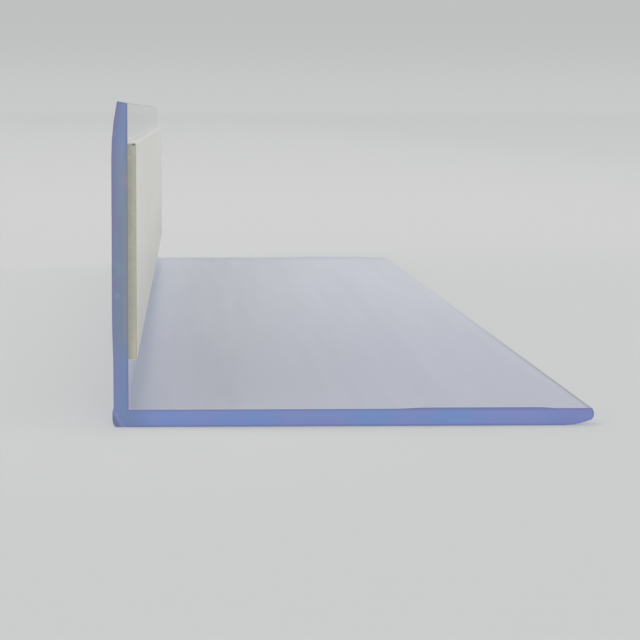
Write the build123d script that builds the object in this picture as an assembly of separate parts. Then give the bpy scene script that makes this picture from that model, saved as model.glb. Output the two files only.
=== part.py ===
from build123d import *
import os

os.makedirs("parts", exist_ok=True)

# Clear plastic angle profile with a strip of double-sided foam tape. Sizes in mm.
# X runs across the long leg, Y along the extrusion, Z up from the floor.

# Overall sizes
leg_long = 45.0  # outside width of the leg that lies flat
leg_short = 30.25  # outside height of the upright leg
cut_length = 300.0
wall_long = 1.6
wall_short = 1.5

# Heel: the outer corner stands proud of the upright leg as a low rounded bead
neck_inset = 0.11  # how far the upright leg is set back just above the bead
heel_round_x = 0.38
heel_round_z = 0.80
bead_top = 1.40  # where the bead starts to fall back to the neck
bead_fade = 0.40
neck_straight = 2.4  # straight part of the neck
neck_fade = 6.8  # height over which the leg swells back to full thickness

# Upright leg's tip: the outer side curves in, and the edge is cut at a slight slope
taper_short = 5.3
taper_short_in = 0.55
tip_slope = 0.20

# Long leg's tip: the underside curves up to a blunt nose
taper_long = 2.9
taper_long_up = 0.50
nose_back = 0.28  # from the nose back to where the taper ends
nose_drop = 0.56  # from the upper side down to where the nose is widest
nose_top = 0.18  # from the nose back to the upper side

edge_round = 0.10  # on the tips' sharp edges

# Long leg's upper side: a shallow raised land left by the die, measured back from the tip
land_start = 19.0
land_full = 15.6
land_fall = 5.2
land_end = 3.3
land_height = 0.10

# Foam tape on the inner side of the upright leg
tape_width = 20.0
foam_thick = 0.70
liner_thick = 0.10
tape_raise = 0.40  # above the middle of the free height


def ease(start, end, way):
    """S-curve of two equal arcs from start to end, which runs in the direction way at both."""
    middle = ((start[0] + end[0]) / 2, (start[1] + end[1]) / 2)
    TangentArc(start, middle, tangent=way)
    TangentArc(end, middle, tangent=(-way[0], -way[1]))


def long_leg_outline():
    """Underside, nose and upper side of the long leg, up to the inner corner."""
    taper_start = (leg_long - taper_long, 0)
    nose_foot = (leg_long - nose_back, taper_long_up)
    nose = (leg_long, wall_long - nose_drop)
    nose_end = (leg_long - nose_top, wall_long)
    Line((heel_round_x, 0), taper_start)
    TangentArc(taper_start, nose_foot, tangent=(1, 0))
    TangentArc(nose, nose_foot, tangent=(0, -1))
    TangentArc(nose, nose_end, tangent=(0, 1))
    land_low = [(leg_long - back, wall_long) for back in (land_end, land_start)]
    land_high = [(leg_long - back, wall_long + land_height) for back in (land_fall, land_full)]
    Line(nose_end, land_low[0])
    ease(land_low[0], land_high[0], (-1, 0))
    Line(land_high[0], land_high[1])
    ease(land_high[1], land_low[1], (-1, 0))
    Line(land_low[1], (wall_short, wall_long))


def short_leg_outline():
    """Inner side, tip and outer side of the upright leg, down to the bead and the rounded heel."""
    tip_in = (wall_short, leg_short - tip_slope)
    tip_out = (taper_short_in, leg_short)
    taper_foot = (0, leg_short - taper_short)
    Line((wall_short, wall_long), tip_in)
    Line(tip_in, tip_out)
    TangentArc(taper_foot, tip_out, tangent=(0, 1))
    neck_low = (neck_inset, bead_top + bead_fade)
    neck_high = (neck_inset, bead_top + bead_fade + neck_straight)
    full = (0, bead_top + bead_fade + neck_straight + neck_fade)
    Line(taper_foot, full)
    ease(full, neck_high, (0, -1))
    Line(neck_high, neck_low)
    ease(neck_low, (0, bead_top), (0, -1))
    Line((0, bead_top), (0, heel_round_z))
    EllipticalCenterArc((heel_round_x, heel_round_z), heel_round_x, heel_round_z, 180, arc_size=90)


def profile():
    """The extruded angle, from end to end along Y."""
    with BuildPart() as part:
        with BuildSketch(Plane.XZ.offset(-cut_length / 2)):
            with BuildLine():
                long_leg_outline()
                short_leg_outline()
            make_face()
        extrude(amount=cut_length)
        sharp = [
            (wall_short, leg_short - tip_slope),
            (taper_short_in, leg_short),
            (leg_long - nose_top, wall_long),
        ]
        along = part.edges().filter_by(Axis.Y)
        fillet([along.sort_by_distance((x, 0, z))[0] for x, z in sharp], edge_round)
    return part.part


def strip(x0, thick):
    """A flat strip on the inner side of the upright leg, as long as the profile."""
    low = wall_long + (leg_short - wall_long - tape_width) / 2 + tape_raise
    return Pos(x0, 0, low) * Box(thick, cut_length, tape_width, align=(Align.MIN, Align.CENTER, Align.MIN))


# The origin is the middle of the base
shift = Pos(-leg_long / 2, 0, 0)
export_step(shift * profile(), "parts/angle_profile.step")
export_step(shift * strip(wall_short, foam_thick), "parts/foam_tape.step")
export_step(shift * strip(wall_short + foam_thick, liner_thick), "parts/release_liner.step")
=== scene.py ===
import math

import bpy
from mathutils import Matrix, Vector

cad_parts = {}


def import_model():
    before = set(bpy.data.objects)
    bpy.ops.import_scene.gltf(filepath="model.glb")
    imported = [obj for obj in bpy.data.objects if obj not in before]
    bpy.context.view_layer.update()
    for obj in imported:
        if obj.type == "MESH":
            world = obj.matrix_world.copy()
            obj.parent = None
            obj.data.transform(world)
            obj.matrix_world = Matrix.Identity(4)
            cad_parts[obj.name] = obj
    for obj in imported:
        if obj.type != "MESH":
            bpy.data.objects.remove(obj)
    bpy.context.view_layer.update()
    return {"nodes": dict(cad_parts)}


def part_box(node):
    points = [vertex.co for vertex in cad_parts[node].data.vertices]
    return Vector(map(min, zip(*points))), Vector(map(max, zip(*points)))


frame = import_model()
nodes = frame["nodes"]
scene = bpy.context.scene

MM = 0.001

# Sizes of the section that the materials follow, in metres
HEEL_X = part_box("angle_profile")[0].x  # outer side of the upright leg
NEAR_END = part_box("angle_profile")[0].y
TAPE_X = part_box("foam_tape")[0].x  # inner side of the upright leg
TAPE_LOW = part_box("foam_tape")[0].z
TAPE_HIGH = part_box("foam_tape")[1].z
FOAM_THICK = 0.7 * MM
WALL_SHORT = TAPE_X - HEEL_X
WALL_LONG = 1.6 * MM
LEG_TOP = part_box("angle_profile")[1].z
TAPER_START = LEG_TOP - 5.3 * MM  # where the upright leg begins to taper
TAPER_IN = 0.55 * MM
FREE_EDGE_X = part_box("angle_profile")[1].x
NOSE_START = FREE_EDGE_X - 2.9 * MM  # where the underside begins to rise to the nose
NOSE_RISE = 0.50 * MM

# In the names below, a grain is noise cells per metre across, along and up.
# A pair of places is where a tone starts to change and where it has changed.


# Small helpers for node trees

FACING = (0.85, 0.95)  # share of a face's normal that lies along an axis


class Tree:
    """Adds nodes to one material or world, and links what they're given."""

    def __init__(self, block):
        block.use_nodes = True
        self.nt = block.node_tree
        self.nt.nodes.clear()

    def add(self, kind, **settings):
        node = self.nt.nodes.new(kind)
        for key, value in settings.items():
            setattr(node, key, value)
        return node

    def put(self, value, socket):
        if isinstance(value, bpy.types.NodeSocket):
            self.nt.links.new(value, socket)
        elif isinstance(value, (tuple, list)) and len(value) == 3 and socket.type == "RGBA":
            socket.default_value = (*value, 1)
        else:
            socket.default_value = value

    def math(self, op, a, b=0.0):
        node = self.add("ShaderNodeMath", operation=op)
        self.put(a, node.inputs[0])
        self.put(b, node.inputs[1])
        return node.outputs[0]

    def times(self, a, b):
        return self.math("MULTIPLY", a, b)

    def minus(self, a, b):
        return self.math("SUBTRACT", a, b)

    def ramp(self, value, low, high, to_low=0.0, to_high=1.0, smooth=True):
        """value from low to high becomes to_low to to_high, held at both ends."""
        kind = "SMOOTHSTEP" if smooth else "LINEAR"
        node = self.add("ShaderNodeMapRange", interpolation_type=kind)
        numbers = {"Value": value, "From Min": low, "From Max": high, "To Min": to_low, "To Max": to_high}
        for name, number in numbers.items():
            self.put(number, node.inputs[name])
        return node.outputs["Result"]

    def band(self, value, low, high, fade):
        """1 between low and high, fading to 0 over fade outside them."""
        rise = self.ramp(value, low - fade, low)
        fall = self.ramp(value, high, high + fade, 1.0, 0.0)
        return self.times(rise, fall)

    def spot(self, a, b, centre_a, centre_b, radius):
        """1 at a centre in the plane of a and b, fading to 0 at the radius."""
        side_a = self.minus(a, centre_a)
        side_b = self.minus(b, centre_b)
        square = self.math("ADD", self.times(side_a, side_a), self.times(side_b, side_b))
        return self.ramp(self.math("SQRT", square), 0.0, radius, 1.0, 0.0)

    def mix(self, factor, a, b):
        """Colour a where factor is 0, and b where it is 1."""
        node = self.add("ShaderNodeMix", data_type="RGBA")
        self.put(factor, node.inputs[0])
        self.put(a, node.inputs[6])
        self.put(b, node.inputs[7])
        return node.outputs[2]

    def mix_value(self, factor, a, b):
        node = self.add("ShaderNodeMix", data_type="FLOAT")
        self.put(factor, node.inputs[0])
        self.put(a, node.inputs[2])
        self.put(b, node.inputs[3])
        return node.outputs[0]

    def noise(self, vector, scale, detail=2.0, rough=0.5):
        node = self.add("ShaderNodeTexNoise")
        self.put(vector, node.inputs["Vector"])
        for name, number in (("Scale", scale), ("Detail", detail), ("Roughness", rough)):
            self.put(number, node.inputs[name])
        return node.outputs["Fac"]

    def stretch(self, vector, by, turn=(0, 0, 0)):
        node = self.add("ShaderNodeMapping")
        self.put(vector, node.inputs["Vector"])
        node.inputs["Scale"].default_value = by
        node.inputs["Rotation"].default_value = turn
        return node.outputs[0]

    def split(self, vector):
        node = self.add("ShaderNodeSeparateXYZ")
        self.put(vector, node.inputs[0])
        return node.outputs

    def bump(self, height, distance):
        node = self.add("ShaderNodeBump")
        self.put(height, node.inputs["Height"])
        node.inputs["Distance"].default_value = distance
        return node.outputs[0]

    def place(self):
        return self.add("ShaderNodeTexCoord").outputs["Object"]

    def facing(self, axis):
        """1 where a face looks along the axis or against it, 0 elsewhere."""
        normal = self.add("ShaderNodeNewGeometry").outputs["True Normal"]
        return self.ramp(self.math("ABSOLUTE", self.split(normal)[axis]), *FACING)

    def principled(self, **inputs):
        node = self.add("ShaderNodeBsdfPrincipled")
        for name, value in inputs.items():
            self.put(value, node.inputs[name.replace("_", " ")])
        return node.outputs[0]

    def mix_shaders(self, factor, a, b):
        node = self.add("ShaderNodeMixShader")
        self.put(factor, node.inputs[0])
        self.put(a, node.inputs[1])
        self.put(b, node.inputs[2])
        return node.outputs[0]

    def finish(self, surface, kind="ShaderNodeOutputMaterial", volume=None):
        out = self.add(kind)
        self.put(surface, out.inputs["Surface"])
        if volume is not None:
            self.put(volume, out.inputs["Volume"])


def material(name):
    mat = bpy.data.materials.new(name)
    return mat, Tree(mat)


# Sawn ends of the profile

CUT_SKY = (0.192, 0.299, 0.622)
CUT_INDIGO = (0.236, 0.286, 0.602)
CUT_UPRIGHT = (0.178, 0.244, 0.440)
CUT_TAPED = (0.205, 0.255, 0.350)
CUT_CORE = (0.215, 0.312, 0.455)
CUT_OUTER_LOW = (0.216, 0.238, 0.400)
CUT_OUTER_HIGH = (0.240, 0.212, 0.390)
CUT_BY_TAPE = (0.250, 0.285, 0.330)
CUT_NOSE = (0.212, 0.235, 0.540)
CUT_RIM = (0.180, 0.205, 0.400)
DRIFT_GRAIN = (150, 40, 150)
PATCH_GRAIN = (420, 40, 110)

# Places across from the upright leg's outer side
CORNER = (1.6 * MM, 4.0 * MM)
CORE = (0.7 * MM, 1.0 * MM)
CORE_FADE = 0.35 * MM
OUTER_SIDE = (0.1 * MM, 0.6 * MM)
BY_TAPE_START = 0.8 * MM

# Places up from the floor
UPPER_HALF = (18 * MM, 23 * MM)
ABOVE_HEEL = (2 * MM, 6 * MM)
VIOLET_GROWS = (14 * MM, 20 * MM)
TAPED_INSET = 3 * MM
TAPED_FADE = 4 * MM

TOWARDS_NOSE = (16 * MM, 21 * MM)
RIM = (0.04 * MM, 0.24 * MM)  # depth below the outline

# Painted shade and highlight of a small slanting bevel on the near end's heel
BEVEL_PAINTED_SHADE = (0.145, 0.160, 0.320)
BEVEL_PAINTED_HIGHLIGHT = (0.245, 0.275, 0.540)
BEVEL_SLANT_ACROSS = math.cos(math.radians(30))
BEVEL_SLANT_UP = math.sin(math.radians(30))
BEVEL_TOP = (1.5 * MM, 2.0 * MM)
SHADE_ENDS = (0.55 * MM, 0.80 * MM)
HIGHLIGHT_LINE = (0.82 * MM, 0.94 * MM)
HIGHLIGHT_LINE_FADE = 0.14 * MM

# Marks on the near end's upright leg: place across and up, radius, strength and colour
MARKS = (
    (0.64 * MM, 14.8 * MM, 1.10 * MM, 0.60, (0.215, 0.312, 0.420)),  # greenish patch
    (0.20 * MM, 13.2 * MM, 0.60 * MM, 0.60, (0.225, 0.195, 0.370)),  # violet patch
    (0.50 * MM, 12.2 * MM, 0.40 * MM, 0.40, (0.28, 0.38, 0.48)),  # pale chip
    (0.10 * MM, 14.6 * MM, 0.60 * MM, 0.50, (0.190, 0.200, 0.270)),  # dark smudge
    (1.25 * MM, 22.9 * MM, 0.80 * MM, 0.35, (0.38, 0.30, 0.40)),  # rosy stain
)


def curve_in(t, value, start, end, most):
    """0 before start, then growing with the square of the way to end, where it is most."""
    way = t.ramp(value, start, end, smooth=False)
    return t.times(t.times(way, way), most)


def rim_mask(t, x, across, z):
    """1 along the outline of a sawn end, 0 inside it."""
    rise = curve_in(t, x, NOSE_START, FREE_EDGE_X, NOSE_RISE)
    in_flat = t.math("MINIMUM", t.minus(z, rise), t.minus(WALL_LONG, z))
    in_flat = t.math("MINIMUM", in_flat, t.minus(FREE_EDGE_X, x))
    in_upright = t.math("MINIMUM", across, t.minus(TAPE_X, x))
    in_upright = t.math("MINIMUM", in_upright, t.minus(LEG_TOP, z))
    depth = t.math("MAXIMUM", in_flat, in_upright)
    return t.ramp(depth, *RIM, 1.0, 0.0)


def heel_bevel_shade_and_highlight(t, blue, near, across, z):
    """Paints shade on the heel's corner up to a slanting highlight line, as light falls on a small bevel.
    """
    slant = t.math("ADD", t.times(across, BEVEL_SLANT_ACROSS), t.times(z, BEVEL_SLANT_UP))
    low = t.times(near, t.ramp(z, *BEVEL_TOP, 1.0, 0.0))
    shade = t.times(low, t.ramp(slant, *SHADE_ENDS, 0.75, 0.0))
    line = t.times(low, t.band(slant, *HIGHLIGHT_LINE, HIGHLIGHT_LINE_FADE))
    blue = t.mix(shade, blue, BEVEL_PAINTED_SHADE)
    return t.mix(t.times(line, 0.6), blue, BEVEL_PAINTED_HIGHLIGHT)


def cut_colour(t, place):
    """The sawn ends' blue: it drifts in tone, and is greyer where the tape backs the leg."""
    x, y, z = t.split(place)
    lean = curve_in(t, z, TAPER_START, LEG_TOP, TAPER_IN)
    across = t.minus(t.minus(x, HEEL_X), lean)
    drift = t.noise(t.stretch(place, DRIFT_GRAIN), 1.0, 3.0, 0.6)
    patch = t.noise(t.stretch(place, PATCH_GRAIN), 1.0, 2.0, 0.5)
    blue = t.mix(t.ramp(drift, 0.35, 0.65), CUT_SKY, CUT_INDIGO)

    upright = t.ramp(across, *CORNER, 1.0, 0.0)
    blue = t.mix(t.times(upright, 0.80), blue, CUT_UPRIGHT)
    taped = t.band(z, TAPE_LOW + TAPED_INSET, TAPE_HIGH - TAPED_INSET, TAPED_FADE)
    blue = t.mix(t.times(taped, 0.80), blue, CUT_TAPED)
    # greener in the core of the upper half, violet at the outer side, grey next to the tape
    upper = t.times(t.ramp(z, *UPPER_HALF), t.ramp(patch, 0.42, 0.62, 0.25, 0.9))
    core = t.band(across, *CORE, CORE_FADE)
    blue = t.mix(t.times(upper, core), blue, CUT_CORE)
    outer = t.times(t.ramp(z, *ABOVE_HEEL), t.ramp(across, *OUTER_SIDE, 0.8, 0.0))
    violet = t.mix(t.ramp(z, *VIOLET_GROWS), CUT_OUTER_LOW, CUT_OUTER_HIGH)
    blue = t.mix(outer, blue, violet)
    inner = t.times(taped, t.ramp(across, BY_TAPE_START, WALL_SHORT, 0.0, 0.9))
    blue = t.mix(inner, blue, CUT_BY_TAPE)
    # a little violet towards the nose, and a darker outline all round
    blue = t.mix(t.ramp(x, *TOWARDS_NOSE, 0.0, 0.5), blue, CUT_NOSE)
    blue = t.mix(t.times(rim_mask(t, x, across, z), 0.7), blue, CUT_RIM)

    # the painted shade and highlight of the heel's bevel, and the marks, are on the near end alone
    near = t.math("LESS_THAN", y, 0.0)
    blue = heel_bevel_shade_and_highlight(t, blue, near, across, z)
    for mark_across, mark_up, radius, strength, tint in MARKS:
        spot = t.times(near, t.spot(across, z, mark_across, mark_up, radius))
        blue = t.mix(t.times(spot, strength), blue, tint)
    return blue


# Clear plastic of the profile

# The plastic's tint at the near and far ends; its paling towards the far end is painted light
BODY_NEAR = (0.508, 0.522, 0.602)
BODY_FAR = (0.650, 0.664, 0.702)
BODY_PAINTED_LIGHT_ALONG = (-0.17, 0.12)  # along the piece
BODY_UPRIGHT = (0.985, 0.987, 0.985)
# The free edge's thin line of painted shade
EDGE_PAINTED_SHADE = (0.240, 0.275, 0.285)
EDGE_SHADE_IN = (21.85 * MM, 22.1 * MM)
EDGE_SHADE_FADES = (-0.15, 0.02)  # along the piece
LIGHT_THROUGH = (0.95, 0.96, 0.99)
LIGHT_THROUGH_CUT = (0.08, 0.13, 0.45)
INSIDE_TINT = (0.36, 0.52, 0.86)
INSIDE_DENSITY = 40.0
PVC_IOR = 1.53
ROUGH_FLAT = (0.34, 0.38)
ROUGH_UPRIGHT = 0.04
ROUGH_CUT = 0.38
CLEAR_FLAT = 0.7
CLEAR_UPRIGHT = 0.96
SKIN_DEPTH = 0.01 * MM
DIE_LINE_GRAIN = (1400, 2, 1400)
WAVE_GRAIN = (60, 2, 60)
HAZE_GRAIN = (170, 5, 170)
SAW_GRAIN = (300, 300, 5200)
SAW_TURN = (0, 0.35, 0)


def clear_pvc():
    """Clear bluish PVC, whose sawn ends show a saturated blue."""
    mat, t = material("clear_pvc")
    place = t.place()
    cut = t.facing(1)
    upright = t.facing(0)

    # die lines along the extrusion, a slow waviness across it, and long hazy streaks
    lines = t.noise(t.stretch(place, DIE_LINE_GRAIN), 1.0, 2.0, 0.6)
    waves = t.noise(t.stretch(place, WAVE_GRAIN), 1.0, 1.0)
    skin = t.math("ADD", t.times(lines, 0.02), t.times(waves, 0.10))
    haze = t.noise(t.stretch(place, HAZE_GRAIN), 1.0, 3.0, 0.6)
    # saw marks on the ends, slightly askew
    saw = t.noise(t.stretch(place, SAW_GRAIN, SAW_TURN), 1.0, 2.0, 0.6)

    # the flat leg is dulled by handling, and its tint pales towards the far end, which is painted light
    # for the stronger light and reflection there
    dull = t.ramp(haze, 0.35, 0.75, *ROUGH_FLAT)
    dull = t.mix_value(upright, dull, ROUGH_UPRIGHT)
    x, y, _ = t.split(place)
    body = t.mix(t.ramp(y, *BODY_PAINTED_LIGHT_ALONG), BODY_NEAR, BODY_FAR)
    # the free edge shows a thin grey line of painted shade, for the dark edge that refraction gives,
    # plainest at the near end
    edge = t.times(t.ramp(x, *EDGE_SHADE_IN), t.ramp(y, *EDGE_SHADE_FADES, 0.9, 0.1))
    body = t.mix(edge, body, EDGE_PAINTED_SHADE)
    body = t.mix(upright, body, BODY_UPRIGHT)
    surface = t.principled(
        Base_Color=t.mix(cut, body, cut_colour(t, place)),
        Roughness=t.mix_value(cut, dull, ROUGH_CUT),
        IOR=PVC_IOR,
        Transmission_Weight=t.mix_value(cut, t.mix_value(upright, CLEAR_FLAT, CLEAR_UPRIGHT), 0.0),
        Normal=t.bump(t.mix_value(cut, skin, saw), SKIN_DEPTH),
    )
    # light from the lamps and from other surfaces reaches what is behind the plastic
    path = t.add("ShaderNodeLightPath")
    passing = t.math("MAXIMUM", path.outputs["Is Shadow Ray"], path.outputs["Is Diffuse Ray"])
    clear = t.add("ShaderNodeBsdfTransparent")
    t.put(t.mix(cut, LIGHT_THROUGH, LIGHT_THROUGH_CUT), clear.inputs["Color"])
    inside = t.add("ShaderNodeVolumeAbsorption")
    t.put(INSIDE_TINT, inside.inputs["Color"])
    t.put(INSIDE_DENSITY, inside.inputs["Density"])
    t.finish(t.mix_shaders(passing, surface, clear.outputs[0]), volume=inside.outputs[0])
    return mat


# Foam of the tape

FOAM_INNER = (0.375, 0.368, 0.305)
FOAM_OUTER = (0.500, 0.498, 0.425)
FOAM_CREAM = (0.60, 0.60, 0.46)
CREAM_UP = (0.5 * MM, 4 * MM)  # above the tape's lower edge
FOAM_TONE = (0.540, 0.535, 0.455)
FOAM_PORE = (0.33, 0.32, 0.26)
FOAM_SMEAR = (0.36, 0.36, 0.33)
FOAM_SLIT_PAINTED_LIGHT = (0.68, 0.67, 0.62)
FILM_DARK = (0.780, 0.745, 0.625)
FILM_PALE = (0.810, 0.780, 0.660)
TONE_PER_METRE = 900.0
CELLS_PER_METRE = 9000.0
CELL_DEPTH = 0.05 * MM
SMEAR_GRAIN = (1300, 1300, 130)
WET_GRAIN = (260, 160, 260)

# A dot of painted shadow at the near end's upper corner, by the liner's corner
CORNER_SHADOW_DOT = (0.06, 0.06, 0.05)
CORNER_SHADOW_X = TAPE_X + 0.58 * MM
CORNER_SHADOW_RADIUS = 0.30 * MM
CORNER_SHADOW_BACK = NEAR_END + 0.5 * MM


def tape_foam():
    mat, t = material("tape_foam")
    place = t.place()
    cells = t.add("ShaderNodeTexVoronoi")
    t.put(place, cells.inputs["Vector"])
    t.put(CELLS_PER_METRE, cells.inputs["Scale"])
    tone = t.noise(place, TONE_PER_METRE, 3.0, 0.6)
    # the foam is darker at the plastic and paler towards the liner, and creamy at its lower end
    x, y, z = t.split(place)
    through = t.ramp(x, TAPE_X, TAPE_X + FOAM_THICK)
    base = t.mix(through, FOAM_INNER, FOAM_OUTER)
    low = t.ramp(z, TAPE_LOW + CREAM_UP[0], TAPE_LOW + CREAM_UP[1], 0.6, 0.0)
    base = t.mix(t.times(low, through), base, FOAM_CREAM)
    colour = t.mix(t.ramp(tone, 0.35, 0.7, 0.0, 0.35), base, FOAM_TONE)
    pores = t.ramp(cells.outputs["Distance"], 0.2, 0.6, 0.30, 0.0)
    colour = t.mix(pores, colour, FOAM_PORE)
    # smears drawn by the blade across the ends, and slit top and bottom faces painted paler, as painted
    # light that lifts the shade under the tape
    smear = t.noise(t.stretch(place, SMEAR_GRAIN), 1.0, 3.0, 0.6)
    colour = t.mix(t.ramp(smear, 0.48, 0.75, 0.0, 0.45), colour, FOAM_SMEAR)
    colour = t.mix(t.facing(2), colour, FOAM_SLIT_PAINTED_LIGHT)
    # the pale adhesive film that shows through the plastic, which it wets unevenly
    wet = t.noise(t.stretch(place, WET_GRAIN), 1.0, 3.0, 0.6)
    film = t.mix(t.ramp(wet, 0.4, 0.65), FILM_DARK, FILM_PALE)
    colour = t.mix(t.facing(0), colour, film)
    # the dot of painted shadow at the near end's upper corner
    at_end = t.math("LESS_THAN", y, CORNER_SHADOW_BACK)
    corner_shadow = t.times(at_end, t.spot(x, z, CORNER_SHADOW_X, TAPE_HIGH, CORNER_SHADOW_RADIUS))
    colour = t.mix(corner_shadow, colour, CORNER_SHADOW_DOT)
    t.finish(t.principled(
        Base_Color=colour,
        Roughness=0.8,
        Normal=t.bump(cells.outputs["Distance"], CELL_DEPTH),
    ))
    return mat


# Release liner

LINER_DARK = (0.74, 0.73, 0.66)
LINER_PALE = (0.79, 0.78, 0.71)
LINER_CLOUD = (0.74, 0.73, 0.64)
LINER_LOW_SHADE = (0.64, 0.62, 0.51)
LINER_SHADE_TOP = 18 * MM
LINER_CUT = (0.44, 0.43, 0.34)
LINER_DEPTH = 0.03 * MM
FIBRE_GRAIN = (900, 260, 900)
CLOUD_GRAIN = (40, 18, 40)


def liner_paper():
    mat, t = material("liner_paper")
    place = t.place()
    fibre = t.noise(t.stretch(place, FIBRE_GRAIN), 1.0, 4.0, 0.65)
    cloud = t.noise(t.stretch(place, CLOUD_GRAIN), 1.0, 3.0, 0.6)
    colour = t.mix(t.ramp(fibre, 0.35, 0.7), LINER_DARK, LINER_PALE)
    colour = t.mix(t.ramp(cloud, 0.4, 0.7, 0.0, 0.4), colour, LINER_CLOUD)
    # darker and yellower low down, where shade near the flat leg is painted, and yellower at the cut ends
    low = t.ramp(t.split(place)[2], TAPE_LOW, LINER_SHADE_TOP, 0.75, 0.0)
    colour = t.mix(low, colour, LINER_LOW_SHADE)
    colour = t.mix(t.facing(1), colour, LINER_CUT)
    t.finish(t.principled(
        Base_Color=colour,
        Roughness=t.ramp(cloud, 0.3, 0.7, 0.42, 0.55),
        Coat_Weight=0.5,
        Coat_Roughness=0.3,
        Normal=t.bump(t.math("ADD", t.times(fibre, 0.15), cloud), LINER_DEPTH),
    ))
    return mat


for name, make in (
    ("angle_profile", clear_pvc),
    ("foam_tape", tape_foam),
    ("release_liner", liner_paper),
):
    slots = nodes[name].data.materials
    slots.clear()
    slots.append(make())


# Floor

FLOOR_RADIUS = 60
FLOOR_DROP = 0.02 * MM
FLOOR_NEAR = (0.613, 0.625, 0.618)
FLOOR_BEHIND = (0.648, 0.648, 0.648)
BEHIND_Y = (0.06, 0.32)
FLOOR_FAR = (0.570, 0.581, 0.575)
FAR_DECADES = (-0.2, 1.0)  # logarithms of the distance in metres
NEAREST = 0.1  # the least distance whose logarithm is taken
FLOOR_ASIDE = (0.560, 0.580, 0.578)
ASIDE_X = (0.08, 0.35)
FLOOR_BESIDE_PAINTED_LIGHT = (0.652, 0.657, 0.650)
BESIDE_X = (-0.060, HEEL_X)
BESIDE_X_FADE = 0.040
BESIDE_Y = (-0.13, 0.15)
BESIDE_Y_FADE = 0.10


def floor():
    bpy.ops.mesh.primitive_circle_add(vertices=128, radius=FLOOR_RADIUS, fill_type="NGON")
    obj = bpy.context.object
    obj.name = "floor"
    obj.location.z = -FLOOR_DROP
    mat, t = material("floor")
    # painted light and shade: paler just behind the object, then slowly greyer with distance and to the
    # right
    x, y, _ = t.split(t.place())
    near = t.mix(t.ramp(y, *BEHIND_Y), FLOOR_NEAR, FLOOR_BEHIND)
    decades = t.math("LOGARITHM", t.math("MAXIMUM", y, NEAREST), 10.0)
    colour = t.mix(t.ramp(decades, *FAR_DECADES, smooth=False), near, FLOOR_FAR)
    aside = t.ramp(x, *ASIDE_X, 0.0, 0.5)
    colour = t.mix(aside, colour, FLOOR_ASIDE)
    # and a little paler along the outer side of the upright leg, painted light that lifts the object's
    # shadow there
    painted_light_beside = t.times(t.band(x, *BESIDE_X, BESIDE_X_FADE), t.band(y, *BESIDE_Y, BESIDE_Y_FADE))
    colour = t.mix(t.times(painted_light_beside, 0.8), colour, FLOOR_BESIDE_PAINTED_LIGHT)
    t.finish(t.principled(Base_Color=colour, Roughness=0.9, Specular_IOR_Level=0.1))
    obj.data.materials.append(mat)


# World and lamps

BACKDROP_LOW = (0.582, 0.594, 0.587)
BACKDROP_HIGH = (0.518, 0.535, 0.526)
BACKDROP_RISE = (0.0, 0.03)  # upward part of a direction of length 1
STUDIO = (0.800, 0.805, 0.820)
STUDIO_RISE = (0.036, 0.060)
WORLD_LIGHT = 0.455

# Each lamp's name, azimuth, elevation and spread in degrees, and what it adds to a white floor
LAMPS = (
    ("top", 180, 84, 30, 0.05),
    ("front", 0, 32, 30, 0.09),
    ("front left", -35, 30, 30, 0.09),
    ("left", -90, 50, 40, 0.22),
    ("back", 180, 40, 30, 0.03),
    ("right", 90, 8, 14, 0.034),
)


def world():
    block = bpy.data.worlds.new("studio")
    scene.world = block
    t = Tree(block)
    up = t.split(t.add("ShaderNodeTexCoord").outputs["Generated"])[2]
    # a backdrop, a little darker above the horizon, with the pale studio over it
    seen = t.mix(t.ramp(up, *BACKDROP_RISE), BACKDROP_LOW, BACKDROP_HIGH)
    seen = t.mix(t.ramp(up, *STUDIO_RISE), seen, STUDIO)
    path = t.add("ShaderNodeLightPath")
    shown = t.math("MAXIMUM", path.outputs["Is Camera Ray"], path.outputs["Is Glossy Ray"])
    shown = t.math("MAXIMUM", shown, path.outputs["Is Transmission Ray"])
    light = t.add("ShaderNodeBackground")
    t.put((1, 1, 1), light.inputs["Color"])
    t.put(WORLD_LIGHT, light.inputs["Strength"])
    backdrop = t.add("ShaderNodeBackground")
    t.put(seen, backdrop.inputs["Color"])
    both = t.mix_shaders(shown, light.outputs[0], backdrop.outputs[0])
    t.finish(both, "ShaderNodeOutputWorld")


def lamp(name, azimuth, elevation, spread, level):
    """A wide soft sun. level is what it adds to a white floor."""
    data = bpy.data.lights.new(name, "SUN")
    data.angle = math.radians(spread)
    data.energy = level * math.pi / math.sin(math.radians(elevation))
    obj = bpy.data.objects.new(name, data)
    scene.collection.objects.link(obj)
    obj.rotation_euler = (math.radians(90 - elevation), 0, math.radians(azimuth))


# Camera

LENS = 174.08
CAMERA_AT = (-15.575 * MM, -437.107 * MM, 29.288 * MM)
CAMERA_DOWN = 3.8543  # degrees below the level
CAMERA_RIGHT = 2.4723  # degrees to the right of straight ahead


def camera():
    data = bpy.data.cameras.new("camera")
    data.sensor_width = 36.0
    data.lens = LENS
    data.clip_start = 0.01
    data.clip_end = 200.0
    obj = bpy.data.objects.new("camera", data)
    scene.collection.objects.link(obj)
    obj.location = CAMERA_AT
    obj.rotation_euler = (math.radians(90 - CAMERA_DOWN), 0, math.radians(-CAMERA_RIGHT))
    scene.camera = obj


floor()
world()
for settings in LAMPS:
    lamp(*settings)
camera()
scene.view_settings.view_transform = "Standard"
